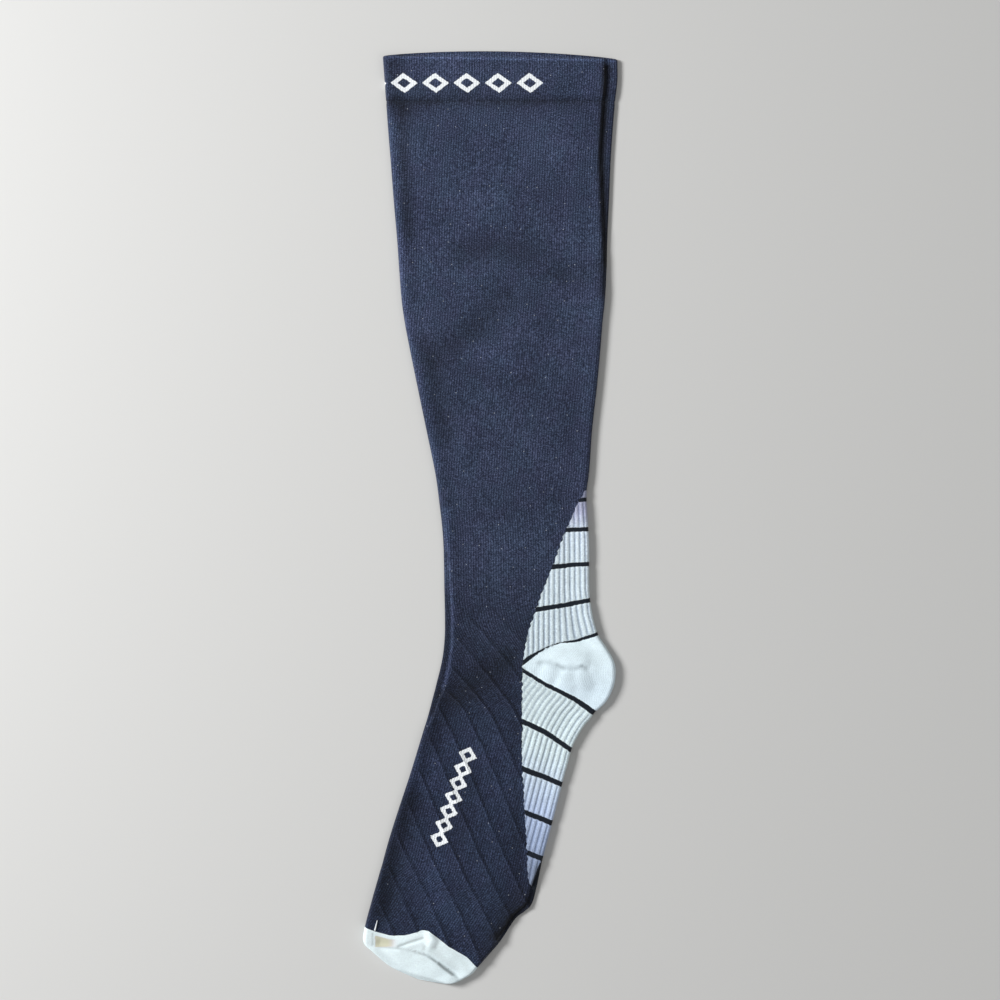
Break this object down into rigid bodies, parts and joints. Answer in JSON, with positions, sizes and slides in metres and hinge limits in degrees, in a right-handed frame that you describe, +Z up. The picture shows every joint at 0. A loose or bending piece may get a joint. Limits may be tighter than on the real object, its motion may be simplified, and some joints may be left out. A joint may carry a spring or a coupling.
{
  "type": "compression stocking",
  "caption": "Knee-high compression stocking lying flat, with a double welt, ribbed wedges behind the ankle and under the arch, a pocket heel and a closed toe.",
  "frame": {"origin": "on the surface that the stocking lies on, below the middle of its outline", "axes": "+Z up off the surface, +Y along the leg towards the mouth, +X towards the heel and sole"},
  "size_m": [0.1477, 0.5407, 0.0062],
  "materials": {
    "dark_knit": "fine ribbed nylon knit, matt, heathered dark navy",
    "pale_rib": "ribbed knit in pale blue grey with dark bars, matt",
    "white_knit": "soft plain knit in cool white, matt"
  },
  "bodies": {
    "root": {"cuff_welt": "dark_knit", "leg_and_foot": "dark_knit", "ankle_gusset": "pale_rib", "sole_gusset": "pale_rib", "heel_pocket": "white_knit", "toe_cap": "white_knit"}
  },
  "joints": []
}
